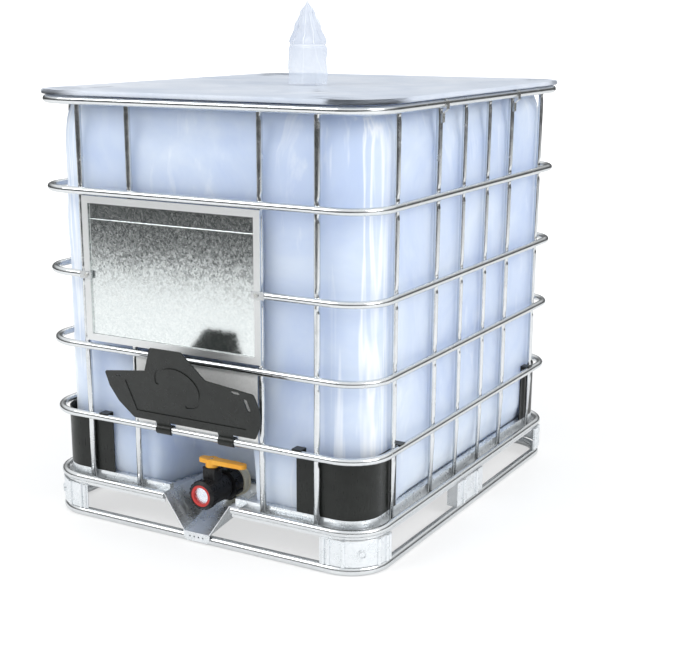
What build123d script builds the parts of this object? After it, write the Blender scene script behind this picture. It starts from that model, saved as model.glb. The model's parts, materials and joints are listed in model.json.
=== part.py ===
"""Intermediate bulk container: a tubular cage on a steel frame pallet, with a film liner and a ball valve.

Millimetres. The origin is on the floor at the centre of the pallet.
The valve faces the front, -Y, and +Z is up.
"""
import os

from build123d import *

# ---------------------------------------------------------------- driving dimensions
WIDTH = 1000.0                  # footprint across the front
DEPTH = 1200.0                  # footprint from front to back
CORNER_RADIUS = 100.0           # centre line of the hoops at the corners

HOOP_DIA = 19.0
RIM_DIA = 20.0
TUBE_WALL = 1.2
RIM_HEIGHT = 1103.0             # centre line of the top rim
UPPER_HOOP_HEIGHT = 880.5
MIDDLE_HOOP_HEIGHT = 668.0
LOWER_HOOP_HEIGHT = 479.5
BASE_HOOP_HEIGHT = 289.5

UPRIGHT_DIA = 16.0
SIDE_UPRIGHT_DIA = 14.0
UPRIGHT_INSET = 10.0            # from the hoops' centre line to the uprights' centre line
UPRIGHT_SPREAD_X = (0.191 * WIDTH, 0.345 * WIDTH)
UPRIGHT_SPREAD_Y = (0.0633 * DEPTH, 0.19 * DEPTH, 0.3725 * DEPTH)
BRACED_UPRIGHTS = (2, 5)        # the thicker side uprights, which take a clamp at the rim

SKID_HEIGHT = 24.0
SKID_DIA = 25.0                 # pressed flat underneath, down to the skid's height
SKID_WALL = 2.0
FRAME_DIA = 20.0
FRAME_HEIGHT = 109.0            # centre line of the deck frame tube
FRAME_LIP = 8.0
FRAME_LIP_THICKNESS = 2.0

DECK_TOP = 113.5
DECK_SHEET = 1.5
CURB_TOP = 133.0
CURB_WIDTH = 16.0
DECK_GAP = 1.0                  # between the curb and the uprights

FOOT_SHEET = 2.0
FOOT_FRONT_LEG = 140.0          # from the pallet's side to the end of a corner foot
FOOT_SIDE_LEG = 125.0
FOOT_RIB_RADIUS = 5.0
FOOT_RIB_PITCH = 14.0           # between the two ribs at each end of a corner foot
FOOT_BEND_RIBS = (-74.0, -20.0) # degrees round the corner
FOOT_BEND_DIMPLE = -47.0
MIDDLE_FOOT_LENGTH = 170.0
MIDDLE_FOOT_DEPTH = 30.0
FOOT_SETBACK = 5.0              # of the feet's outer faces from the pallet's edge
FOOT_DIMPLE_RADIUS = 11.0
FOOT_DIMPLE_RISE = 3.0
FOOT_DIMPLE_GROOVE = 2.0

SADDLE_HALF_TOP = 100.0
SADDLE_HALF_FRONT = 38.0
SADDLE_HALF_BACK = 55.0
SADDLE_FRONT_BOTTOM = 30.0
SADDLE_BACK_BOTTOM = 70.0
SADDLE_SHEET = 2.0
SADDLE_FLANGE = 30.0
SADDLE_GAP = 2.0                # between the trough and the cut ends of the deck frame
SADDLE_RIDGE = 4.0              # how far a ridge stands into the trough
SADDLE_RIDGES = (0.20, 0.50, 0.80)
SADDLE_RIDGE_HALF = 0.09        # half a ridge's width, as a share of the trough's length
SADDLE_TOE = 6.0                # height of the toe's lower edge above the floor
SADDLE_HOLE_RADIUS = 2.5

GUARD_THICKNESS = 3.0
GUARD_GAP = 1.0                 # between the guards and the uprights
GUARD_FRONT_END = 0.282 * WIDTH         # distance of a guard's front end from the middle of the container
GUARD_SIDE_END = 0.3417 * DEPTH
GUARD_LIP_THICKNESS = 2.5
GUARD_TAB = 26.0                # width of the hook at each end of a guard

PLATE_LEFT = -0.333 * WIDTH
PLATE_RIGHT = 0.199 * WIDTH
PLATE_BOTTOM = LOWER_HOOP_HEIGHT + HOOP_DIA / 2 + 8.0
PLATE_TOP = UPPER_HOOP_HEIGHT - HOOP_DIA / 2 - 1.0
PLATE_SHEET = 1.2
PLATE_FLANGE = 18.0
PLATE_FLANGE_DEPTH = 5.0
PLATE_CREASE_HEIGHT = 812.0
PLATE_GAP = 3.0                 # between the plate's edges and the cut ends of the middle hoop
TONGUE_THICKNESS = 4.0
TONGUE_REACH = 24.0
TONGUE_OVERLAP = 12.0
RIVET_RADIUS = 3.0
RIVET_INSET = 9.0
RIVET_HEAD_RADIUS = 6.0
RIVET_HEAD = 2.5

CLAMP_SHEET = 2.0
CLAMP_WIDTH = 16.0
CLAMP_DROP = 46.0
CLAMP_CRANK = 15.0              # from the rim's centre line down to the crank
CLAMP_GAP = 0.5

BACKING_SHEET = 1.2
BACKING_SETBACK = 2.0           # behind the hoops' centre line
BACKING_NOTCH = 8.0             # wider than a clip by this much on each side

FLAP_LEAN = 26.0                # degrees that the flap leans out when it is raised
FLAP_THICKNESS = 3.0
FLAP_FOOT = 25.0                # distance of the flap's lower edge from its hinge axis
FLAP_TOP = 173.0
FLAP_SHOULDER = 194.0
FLAP_TAB_TOP = 273.0
FLAP_HALF_TOP = 222.0
FLAP_HALF_BOTTOM = 185.0
FLAP_TAB_HALF_BASE = 90.0
FLAP_TAB_HALF_TOP = 46.0
FLAP_SIDE = 100.0               # height over which the flap's sides widen
CLIP_WIDTH = 44.0
CLIP_SPREAD = 95.0
CLIP_WALL = 3.5
CLIP_MOUTH = 15.0
HINGE_CLEARANCE = 0.4
FLAP_CORNER = 7.0
FLAP_SLOT_WIDTH = 10.0
FLAP_UPPER_SLOT = (52.0, 3.0, 24.0, -5.0)   # in from the side, down from the top, length, tilt in degrees
FLAP_SIDE_SLOT = (29.0, 38.0, 40.0, 92.0)
FLAP_HOLE_RADIUS = 2.5
FLAP_HOLES = (34.0, 45.0)       # in from the side
FLAP_HOLE_DROP = 8.0
GROOVE_WIDTH = 16.0
GROOVE_DEPTH = 1.8
GROOVE_INSET = 27.0             # from the flap's edges to the middle of the groove
EMBOSS_RADIUS = 63.0
EMBOSS_WIDTH = 10.0
EMBOSS_HEIGHT = 157.0

VALVE_HEIGHT = 122.0            # height of the valve's axis
VALVE_INSET = 20.0              # of the collar's face behind the front of the footprint
VALVE_FACE = VALVE_INSET - DEPTH / 2
VALVE_BORE = 20.0
BALL_RADIUS = 28.0
STEM_SETBACK = 55.0             # from the valve's face to the stem's axis
STEM_RADIUS = 7.0
HOUSING_RADIUS = 36.0
COLLAR_RADIUS = 37.5
COLLAR_LENGTH = 25.0
COLLAR_MOUTH = 29.0
GRIP_COUNT = 20
GRIP_WIDTH = 5.0
GRIP_HEIGHT = 1.5               # of a grip rib above the collar
SPIGOT_RADIUS = 30.0
NUT_RADIUS = 42.0
NUT_LENGTH = 36.0
TAIL_RADIUS = 31.0
FITMENT_RADIUS = 46.0
FITMENT_THICKNESS = 24.0
FITMENT_NECK = 34.0
HANDLE_REACH = 104.0
HANDLE_TAIL = 36.0
HANDLE_THICKNESS = 12.0
HANDLE_HALF_HUB = 15.0
HANDLE_HALF_END = 11.0
HANDLE_END_SHARE = 0.9          # of the half width rounded at the arm's corners
HANDLE_TOP = 209.0
HANDLE_GAP = 1.0
HUB_RADIUS = 17.0
NECK_HALF = 19.0
NECK_TOP = 186.0
STOP_HALF = 27.0                # half the width of the lever's stop
STOP_HALF_DEPTH = 4.0
STOP_DROP = (10.0, 4.0)         # from the neck's top to the stop's lower and upper faces
SQUARE_HALF = 4.5
KEY_HALF = 3.0
KEY_SHARE = 0.8                 # of the stem's radius taken by the key's half length
KEY_DEPTH = 6.0
SEAT_RADIUS = 25.0
SEAT_FRONT = 15.0               # from the stem's axis to the near face of a seat
SEAT_BACK = 24.0
ORING_HEIGHTS = (166.0, 173.0)
ORING_SECTION = 2.6
SCREW_RADIUS = 2.5
SCREW_HEAD = 4.0
SCREW_HEAD_RADIUS = 5.5
SCREW_LENGTH = 12.0
COLLAR_BEVEL = 6.0
COLLAR_FLOOR = 9.0              # from the collar's face to the spigot's end
COLLAR_SEAL = 4.5               # from the collar's face to the back of its inner lip
SEAL_RECESS = 1.0
SEAL_BORE = 22.0
FOIL_THICKNESS = 0.5
NUT_LIP = 5.0
LUG_COUNT = 8
LUG_WIDTH = 9.0
LUG_HEIGHT = 4.0
GASKET = 2.0
FITMENT_BACKING = 4.0
FIT = 0.05                      # radial running clearance
THREAD_GAP = 0.3                # radial clearance that stands for a screw thread

LINER_GAP = 1.0                 # between the liner and the corner guards
LINER_FLOOR_GAP = 0.5
LINER_TOP = RIM_HEIGHT + 25.0
LINER_BRIM = 5.0                # how far the liner's top stands out past the rim
LINER_EDGE = 6.0
RECESS_HALF_WIDTH = 130.0
RECESS_TOP = 330.0
RECESS_SHELF = 190.0
SPOUT_SETBACK = -40.0           # the spout's place from the middle of the top
SPOUT_ROUND = 0.45              # corner radius over the thinner size of a section
# the spout's height above the liner's top, its width and its depth, from the bottom up
SPOUT_SHAPE = ((0.0, 112.0, 50.0), (70.0, 122.0, 46.0), (112.0, 110.0, 30.0), (120.0, 108.0, 30.0),
               (165.0, 66.0, 20.0), (214.0, 10.0, 8.0))

# ---------------------------------------------------------------- worked out from the above
HALF_X = WIDTH / 2 - HOOP_DIA / 2
HALF_Y = DEPTH / 2 - HOOP_DIA / 2
UPRIGHT_X = HALF_X - UPRIGHT_INSET
UPRIGHT_Y = HALF_Y - UPRIGHT_INSET
CAGE_INSIDE_X = UPRIGHT_X - UPRIGHT_DIA / 2
CAGE_INSIDE_Y = UPRIGHT_Y - UPRIGHT_DIA / 2
FRAME_BOTTOM = FRAME_HEIGHT - FRAME_DIA / 2 - FRAME_LIP
HOOP_HEIGHTS = (UPPER_HOOP_HEIGHT, MIDDLE_HOOP_HEIGHT, LOWER_HOOP_HEIGHT, BASE_HOOP_HEIGHT)
STEM_Y = VALVE_FACE + STEM_SETBACK
COLLAR_BACK = VALVE_FACE + COLLAR_LENGTH
HOUSING_BACK = STEM_Y + BALL_RADIUS + 7.0
NUT_FRONT = HOUSING_BACK + 12.0
NUT_BACK = NUT_FRONT + NUT_LENGTH
FITMENT_FRONT = NUT_BACK + GASKET
LINER_WALL = FITMENT_FRONT + FITMENT_THICKNESS
SADDLE_BACK = LINER_WALL + SADDLE_SHEET
PLATE_FRONT = -HALF_Y - PLATE_SHEET - PLATE_FLANGE_DEPTH
GUARD_FACE_X = CAGE_INSIDE_X - GUARD_GAP
GUARD_FACE_Y = CAGE_INSIDE_Y - GUARD_GAP
LINER_HALF_X = GUARD_FACE_X - GUARD_THICKNESS - LINER_GAP
LINER_HALF_Y = GUARD_FACE_Y - GUARD_THICKNESS - LINER_GAP


def save(node, shape):
    """Write one node's solids to its own STEP file."""
    shape.label = node
    export_step(shape, f"parts/{node}.step")


def loop_path(half_x, half_y, radius, height, gap=None):
    """A rounded rectangle at one height. A gap, given by two x values, opens its front side."""
    corners = [(half_x, -half_y), (half_x, half_y), (-half_x, half_y), (-half_x, -half_y)]
    if gap is None:
        points = [(x, y, height) for x, y in corners]
        return FilletPolyline(*points, radius=radius, close=True)
    points = [(gap[1], -half_y)] + corners + [(gap[0], -half_y)]
    return FilletPolyline(*[(x, y, height) for x, y in points], radius=radius)


def rod(path, radius):
    """A round bar along a path of lines and arcs."""
    return sweep(Plane(origin=path @ 0, z_dir=path % 0) * Circle(radius), path=path)


def tube(path, diameter, wall):
    """A hollow round tube along a path of lines and arcs."""
    return rod(path, diameter / 2) - rod(path, diameter / 2 - wall)


def band(half_x, half_y, radius, thickness, low, high):
    """An upright sheet that follows a rounded rectangle, with its outer face on it."""
    outer = RectangleRounded(2 * half_x, 2 * half_y, radius)
    inner = RectangleRounded(2 * (half_x - thickness), 2 * (half_y - thickness), radius - thickness)
    return Pos(0, 0, low) * extrude(outer - inner, high - low)


def along_y(radius, front, back, height=VALVE_HEIGHT, x=0.0):
    """A round bar that runs from front to back."""
    return Pos(x, back, height) * Rot(90, 0, 0) * extrude(Circle(radius), back - front)


def along_z(x, y, radius, low, high):
    """A round bar that stands upright."""
    return Pos(x, y, low) * extrude(Circle(radius), high - low)


def block(x_range, y_range, z_range):
    """A box between two values along each axis."""
    size = [high - low for low, high in (x_range, y_range, z_range)]
    middle = [(high + low) / 2 for low, high in (x_range, y_range, z_range)]
    return Pos(*middle) * Box(*size)


def four_corners(shape):
    """A front right corner piece and its mirror images, by name."""
    back = shape.mirror(Plane.XZ)
    return {
        "front_right": shape,
        "back_right": back,
        "back_left": back.mirror(Plane.YZ),
        "front_left": shape.mirror(Plane.YZ),
    }


# ---------------------------------------------------------------- cage
def hoop(height, diameter=HOOP_DIA, gap=None):
    return tube(loop_path(HALF_X, HALF_Y, CORNER_RADIUS, height, gap), diameter, TUBE_WALL)


def middle_hoop():
    """The middle hoop stops at the label plate, with a flattened and punched end on each side."""
    body = hoop(MIDDLE_HOOP_HEIGHT, gap=(PLATE_LEFT - PLATE_GAP, PLATE_RIGHT + PLATE_GAP))
    low = MIDDLE_HOOP_HEIGHT - HOOP_DIA / 2
    high = MIDDLE_HOOP_HEIGHT + HOOP_DIA / 2
    for edge, inward in ((PLATE_LEFT, 1), (PLATE_RIGHT, -1)):
        ends = sorted((edge - inward * TONGUE_OVERLAP, edge + inward * TONGUE_REACH))
        tongue = block(ends, (PLATE_FRONT - TONGUE_THICKNESS, PLATE_FRONT), (low, high))
        hole = along_y(RIVET_RADIUS, PLATE_FRONT - HOOP_DIA, PLATE_FRONT + HOOP_DIA,
                       MIDDLE_HOOP_HEIGHT, edge + inward * RIVET_INSET)
        body = body + tongue - hole
    return body


def upright(diameter, heights):
    """A tube that stands inside a straight front run, dented where each hoop crosses it."""
    outer = along_z(0, 0, diameter / 2, FRAME_HEIGHT, RIM_HEIGHT)
    inner = along_z(0, 0, diameter / 2 - TUBE_WALL, FRAME_HEIGHT, RIM_HEIGHT)
    crossings = [(height, HOOP_DIA / 2) for height in heights]
    crossings += [(FRAME_HEIGHT, FRAME_DIA / 2), (RIM_HEIGHT, RIM_DIA / 2)]
    for height, radius in crossings:
        place = Pos(0, -UPRIGHT_INSET, height) * Rot(0, 90, 0)
        outer = outer - place * Cylinder(radius, 2 * diameter)
        inner = inner - place * Cylinder(radius + TUBE_WALL, 2 * diameter)
    return outer - inner


def uprights():
    """Every upright by name: four on the front and back, six on each side."""
    full = upright(UPRIGHT_DIA, HOOP_HEIGHTS)
    slim = upright(SIDE_UPRIGHT_DIA, HOOP_HEIGHTS)
    plain_middle = upright(UPRIGHT_DIA, [z for z in HOOP_HEIGHTS if z != MIDDLE_HOOP_HEIGHT])
    spread_x = sorted([-x for x in UPRIGHT_SPREAD_X] + list(UPRIGHT_SPREAD_X))
    spread_y = sorted([-y for y in UPRIGHT_SPREAD_Y] + list(UPRIGHT_SPREAD_Y))
    found = {}
    for number, x in enumerate(spread_x, 1):
        behind_plate = PLATE_LEFT < x - UPRIGHT_DIA / 2 and x + UPRIGHT_DIA < PLATE_RIGHT
        front = plain_middle if behind_plate else full
        found[f"front_upright_{number}"] = Pos(x, -UPRIGHT_Y, 0) * front
        found[f"back_upright_{number}"] = Pos(x, UPRIGHT_Y, 0) * Rot(0, 0, 180) * full
    for number, y in enumerate(spread_y, 1):
        piece = full if number in BRACED_UPRIGHTS else slim
        found[f"right_upright_{number}"] = Pos(UPRIGHT_X, y, 0) * Rot(0, 0, 90) * piece
        found[f"left_upright_{number}"] = Pos(-UPRIGHT_X, y, 0) * Rot(0, 0, -90) * piece
    return found


def rim_clamps():
    """Four straps over the rim, one at each thick side upright, with a cranked tongue down its outside."""
    over = RIM_DIA / 2
    sheet = CLAMP_SHEET
    strap = Rot(90, 0, 0) * extrude(Circle(over + sheet) - Circle(over), CLAMP_WIDTH / 2, both=True)
    face = UPRIGHT_DIA / 2 - UPRIGHT_INSET + CLAMP_GAP
    outline = [
        (over, 0), (over, -CLAMP_CRANK), (face, -CLAMP_CRANK - over), (face, -CLAMP_DROP),
        (face + sheet, -CLAMP_DROP), (face + sheet, -CLAMP_CRANK - over + sheet / 2),
        (over + sheet, -CLAMP_CRANK + sheet / 2), (over + sheet, 0),
    ]
    tongue = make_face(Polyline(*outline, close=True))
    clamp = strap + extrude(Plane.XZ * tongue, CLAMP_WIDTH / 2, both=True)
    spots = [(sign, y) for sign in (1, -1) for y in (-UPRIGHT_SPREAD_Y[1], UPRIGHT_SPREAD_Y[1])]
    turned = {1: clamp, -1: Rot(0, 0, 180) * clamp}
    return Compound([(Pos(sign * HALF_X, y, RIM_HEIGHT) * turned[sign]).solid() for sign, y in spots])


# ---------------------------------------------------------------- panels on the front
def label_plate():
    """A galvanised sheet with a folded rim all round and a stiffening crease below its top."""
    span_x = (PLATE_LEFT, PLATE_RIGHT)
    span_z = (PLATE_BOTTOM, PLATE_TOP)
    back = PLATE_FRONT + PLATE_FLANGE_DEPTH
    body = block(span_x, (PLATE_FRONT, back + PLATE_SHEET), span_z)
    inside_x = (PLATE_LEFT + PLATE_FLANGE, PLATE_RIGHT - PLATE_FLANGE)
    inside_z = (PLATE_BOTTOM + PLATE_FLANGE, PLATE_TOP - PLATE_FLANGE)
    dish = block(inside_x, (PLATE_FRONT - 1, back), inside_z)
    underside_x = (PLATE_LEFT + PLATE_SHEET, PLATE_RIGHT - PLATE_SHEET)
    underside_z = (PLATE_BOTTOM + PLATE_SHEET, PLATE_TOP - PLATE_SHEET)
    pocket = block(underside_x, (PLATE_FRONT + PLATE_SHEET, back + PLATE_SHEET), underside_z)
    web_x = (inside_x[0] - PLATE_SHEET, inside_x[1] + PLATE_SHEET)
    web_z = (inside_z[0] - PLATE_SHEET, inside_z[1] + PLATE_SHEET)
    pocket = pocket - block(web_x, (PLATE_FRONT, back + PLATE_SHEET), web_z)
    crease = Pos((span_x[0] + span_x[1]) / 2, back, PLATE_CREASE_HEIGHT) * Rot(0, 90, 0)
    crease = crease * Cylinder(PLATE_SHEET, inside_x[1] - inside_x[0])
    body = body - dish - pocket + crease
    for x in (PLATE_LEFT + RIVET_INSET, PLATE_RIGHT - RIVET_INSET):
        body = body - along_y(RIVET_RADIUS, PLATE_FRONT - 1, back, MIDDLE_HOOP_HEIGHT, x)
    return body


def plate_rivets():
    """Two rivets that hold the middle hoop's ends to the label plate."""
    rivets = []
    for x in (PLATE_LEFT + RIVET_INSET, PLATE_RIGHT - RIVET_INSET):
        head_back = PLATE_FRONT - TONGUE_THICKNESS
        head = along_y(RIVET_HEAD_RADIUS, head_back - RIVET_HEAD, head_back, MIDDLE_HOOP_HEIGHT, x)
        shank = along_y(RIVET_RADIUS, head_back, PLATE_FRONT + PLATE_SHEET, MIDDLE_HOOP_HEIGHT, x)
        tail_front = PLATE_FRONT + PLATE_SHEET
        tail = along_y(RIVET_HEAD_RADIUS, tail_front, tail_front + RIVET_HEAD, MIDDLE_HOOP_HEIGHT, x)
        rivets.append((head + shank + tail).solid())
    return Compound(rivets)


def backing_plate():
    """A flat sheet behind the raised flap, between the lower and the base hoop, notched for the clips."""
    half = UPRIGHT_SPREAD_X[0] - UPRIGHT_DIA / 2
    low = BASE_HOOP_HEIGHT + HOOP_DIA / 2
    high = LOWER_HOOP_HEIGHT - HOOP_DIA / 2
    front = -HALF_Y + BACKING_SETBACK
    sheet = block((-half, half), (front, front + BACKING_SHEET), (low, high))
    notch_half = CLIP_WIDTH / 2 + BACKING_NOTCH
    notch_top = BASE_HOOP_HEIGHT + HOOP_DIA / 2 + CLIP_WALL + BACKING_NOTCH
    for x in (-CLIP_SPREAD, CLIP_SPREAD):
        through = (front - 1, front + BACKING_SHEET + 1)
        notch = block((x - notch_half, x + notch_half), through, (low - 1, notch_top))
        sheet = sheet - notch
    return sheet


# ---------------------------------------------------------------- valve cover
# The flap is drawn flat: X across, Y up from its hinge axis, and the outer face towards +Z.
def flap_face():
    """The flap's outline with its slots and holes."""
    half = [
        (FLAP_HALF_BOTTOM, FLAP_FOOT),
        (FLAP_HALF_TOP - FLAP_CORNER, FLAP_FOOT + FLAP_SIDE / 2),
        (FLAP_HALF_TOP + FLAP_CORNER / 2, FLAP_FOOT + FLAP_SIDE),
        (FLAP_HALF_TOP, FLAP_TOP),
        (FLAP_TAB_HALF_BASE, FLAP_SHOULDER),
        (FLAP_TAB_HALF_TOP, FLAP_TAB_TOP),
    ]
    points = half + [(-x, y) for x, y in reversed(half)]
    outline = make_face(Polyline(*points, close=True))
    outline = fillet(outline.vertices(), FLAP_CORNER)
    for inward, down, length, tilt in (FLAP_UPPER_SLOT, FLAP_SIDE_SLOT):
        place = Pos(FLAP_HALF_TOP - inward, FLAP_TOP - down) * Rot(0, 0, tilt)
        outline = outline - place * SlotOverall(length, FLAP_SLOT_WIDTH)
    for inward in FLAP_HOLES:
        outline = outline - Pos(inward - FLAP_HALF_TOP, FLAP_TOP - FLAP_HOLE_DROP) * Circle(FLAP_HOLE_RADIUS)
    return outline


def flap_grooves():
    """The sunk line along the flap's lower and left edges, and the round one over the valve."""
    foot = FLAP_FOOT + GROOVE_INSET + GROOVE_WIDTH / 2
    left = -FLAP_HALF_BOTTOM + GROOVE_INSET
    lower = Pos(0, foot) * Rectangle(-2 * left + GROOVE_WIDTH, GROOVE_WIDTH)
    upper = FLAP_TOP - GROOVE_INSET
    side = Pos(left, (foot + upper) / 2) * Rectangle(GROOVE_WIDTH, upper - foot + GROOVE_WIDTH)
    half = EMBOSS_WIDTH / 2
    ring = Circle(EMBOSS_RADIUS + half) - Circle(EMBOSS_RADIUS - half)
    open_side = Pos(-EMBOSS_RADIUS, -EMBOSS_RADIUS) * Rectangle(2 * EMBOSS_RADIUS, 2 * EMBOSS_RADIUS)
    return lower + side + Pos(0, EMBOSS_HEIGHT) * (ring - open_side)


def flap_clip():
    """One snap clip: a C that grips the hoop, with its mouth away from the sheet, and an arm to the sheet."""
    inside = HOOP_DIA / 2 + HINGE_CLEARANCE
    ring = Circle(inside + CLIP_WALL) - Circle(inside)
    mouth = Pos(-inside, 0) * Rectangle(2 * inside, CLIP_MOUTH)
    arm_end = FLAP_FOOT + FLAP_THICKNESS
    arm_start = inside + CLIP_WALL / 2
    arm = Pos((arm_start + arm_end) / 2, 0) * Rectangle(arm_end - arm_start, FLAP_THICKNESS)
    return extrude(Plane.YZ * (ring - mouth + arm), CLIP_WIDTH / 2, both=True)


def valve_flap():
    """A moulded cover that snaps on the base hoop by two clips and folds down over the valve."""
    half = FLAP_THICKNESS / 2
    sheet = extrude(flap_face(), half, both=True)
    sheet = sheet - Pos(0, 0, half - GROOVE_DEPTH) * extrude(flap_grooves(), 2 * GROOVE_DEPTH)
    clip = flap_clip()
    sheet = sheet + Pos(-CLIP_SPREAD, 0, 0) * clip + Pos(CLIP_SPREAD, 0, 0) * clip
    hinge = Pos(0, -HALF_Y, BASE_HOOP_HEIGHT)
    return hinge * Rot(90 + FLAP_LEAN, 0, 0) * sheet


# ---------------------------------------------------------------- pallet
def skid_loop():
    """The pallet's lower frame: a hollow bar, pressed flat where it lies on the floor."""
    half = SKID_DIA / 2
    path = loop_path(WIDTH / 2 - half, DEPTH / 2 - half, CORNER_RADIUS, SKID_HEIGHT - half)
    return tube(path, SKID_DIA, SKID_WALL) - block((-WIDTH, WIDTH), (-DEPTH, DEPTH), (-SKID_DIA, 0))


def deck_frame():
    """The pallet's upper frame: a tube with a thin lip below, closed at its ends beside the saddle."""
    end = SADDLE_HALF_TOP + SADDLE_SHEET + SADDLE_GAP
    outer = loop_path(HALF_X, HALF_Y, CORNER_RADIUS, FRAME_HEIGHT, (-end, end))
    inner = loop_path(HALF_X, HALF_Y, CORNER_RADIUS, FRAME_HEIGHT, (-end - TUBE_WALL, end + TUBE_WALL))
    rail = rod(outer, FRAME_DIA / 2) - rod(inner, FRAME_DIA / 2 - TUBE_WALL)
    half = FRAME_LIP_THICKNESS / 2
    high = FRAME_HEIGHT - FRAME_DIA / 2 + TUBE_WALL / 2
    lip = band(HALF_X + half, HALF_Y + half, CORNER_RADIUS + half, FRAME_LIP_THICKNESS, FRAME_BOTTOM, high)
    return rail + (lip - block((-end, end), (-DEPTH, 0), (0, FRAME_HEIGHT)))


def deck_tray():
    """The sheet floor, with a raised hollow curb all round and a cut-out for the saddle."""
    half_x = CAGE_INSIDE_X - DECK_GAP
    half_y = CAGE_INSIDE_Y - DECK_GAP
    radius = CORNER_RADIUS - (HALF_X - half_x)
    outside = RectangleRounded(2 * half_x, 2 * half_y, radius)
    inside = RectangleRounded(2 * (half_x - CURB_WIDTH), 2 * (half_y - CURB_WIDTH), radius - CURB_WIDTH)
    low = FRAME_HEIGHT - FRAME_DIA / 2
    body = Pos(0, 0, low) * extrude(outside, CURB_TOP - low)
    body = body - Pos(0, 0, DECK_TOP) * extrude(inside, CURB_TOP)
    sheet = DECK_SHEET
    under_outside = RectangleRounded(2 * (half_x - sheet), 2 * (half_y - sheet), radius - sheet)
    inward = CURB_WIDTH - DECK_SHEET
    under_inside = RectangleRounded(2 * (half_x - inward), 2 * (half_y - inward), radius - inward)
    body = body - Pos(0, 0, low - 1) * extrude(under_outside, DECK_TOP - DECK_SHEET - low + 1)
    body = body - Pos(0, 0, low) * extrude(under_outside - under_inside, CURB_TOP - DECK_SHEET - low)
    cut = SADDLE_HALF_TOP + SADDLE_SHEET
    return body - block((-cut, cut), (-DEPTH, SADDLE_BACK + SADDLE_SHEET), (0, 2 * CURB_TOP))


def saddle_section(share, grow, ridge=0.0):
    """One cross-section of the trough, from share 0 at its front to 1 at its back.

    Grow moves it out by a sheet's thickness, and ridge pushes the middle of its walls in.
    """
    y = -DEPTH / 2 + (LINER_WALL + DEPTH / 2) * share
    top = FRAME_HEIGHT + FRAME_DIA / 2
    bottom = SADDLE_FRONT_BOTTOM + (SADDLE_BACK_BOTTOM - SADDLE_FRONT_BOTTOM) * share
    half_bottom = SADDLE_HALF_FRONT + (SADDLE_HALF_BACK - SADDLE_HALF_FRONT) * share
    half_middle = (half_bottom + SADDLE_HALF_TOP) / 2 - ridge
    middle = (bottom + top) / 2
    half = [(half_bottom + grow, bottom - grow), (half_middle + grow, middle), (SADDLE_HALF_TOP + grow, top)]
    points = half + [(-x, z) for x, z in reversed(half)]
    return make_face(Polyline(*[(x, y, z) for x, z in points], close=True))


def saddle_shell(grow):
    """The trough's block, with a ridge at each of its places."""
    stations = [(0.0, 0.0)]
    for place in SADDLE_RIDGES:
        stations += [(place - SADDLE_RIDGE_HALF, 0.0), (place - SADDLE_RIDGE_HALF / 3, SADDLE_RIDGE)]
        stations += [(place + SADDLE_RIDGE_HALF / 3, SADDLE_RIDGE), (place + SADDLE_RIDGE_HALF, 0.0)]
    stations.append((1.0, 0.0))
    return loft([saddle_section(share, grow, ridge) for share, ridge in stations], ruled=True)


def valve_saddle():
    """A pressed trough under the valve, which runs down to a toe that laps over the skid."""
    front = -DEPTH / 2
    top = FRAME_HEIGHT + FRAME_DIA / 2
    trough = saddle_shell(SADDLE_SHEET) - saddle_shell(0)
    end = extrude(saddle_section(1.0, SADDLE_SHEET / 2), SADDLE_SHEET, dir=(0, 1, 0))
    trough = trough + (end - block((-WIDTH, WIDTH), (-DEPTH, DEPTH), (DECK_TOP, 2 * top)))
    for sign in (-1, 1):
        edges = sorted((sign * SADDLE_HALF_TOP, sign * (SADDLE_HALF_TOP + SADDLE_FLANGE)))
        trough = trough + block(edges, (front, -GUARD_FACE_Y), (top, top + SADDLE_SHEET))
    half = SADDLE_HALF_FRONT + SADDLE_SHEET
    toe_height = SADDLE_FRONT_BOTTOM - SADDLE_TOE
    toe = Pos(0, SADDLE_TOE + toe_height / 2) * Rectangle(2 * half, toe_height)
    toe = fillet(toe.vertices().group_by(Axis.Y)[0], toe_height / 2)
    for x in (-half / 2, -half / 6, half / 6, half / 2):
        toe = toe - Pos(x, SADDLE_TOE + toe_height / 2) * Circle(SADDLE_HOLE_RADIUS)
    return trough + Pos(0, front, 0) * Rot(90, 0, 0) * extrude(toe, SADDLE_SHEET)


def foot_bend(angle, radius):
    """A point round the corner of the front right foot."""
    around = Vector(radius, 0, 0).rotate(Axis.Z, angle)
    inward = FOOT_SETBACK + CORNER_RADIUS
    return (WIDTH / 2 - inward + around.X, -DEPTH / 2 + inward + around.Y)


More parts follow.
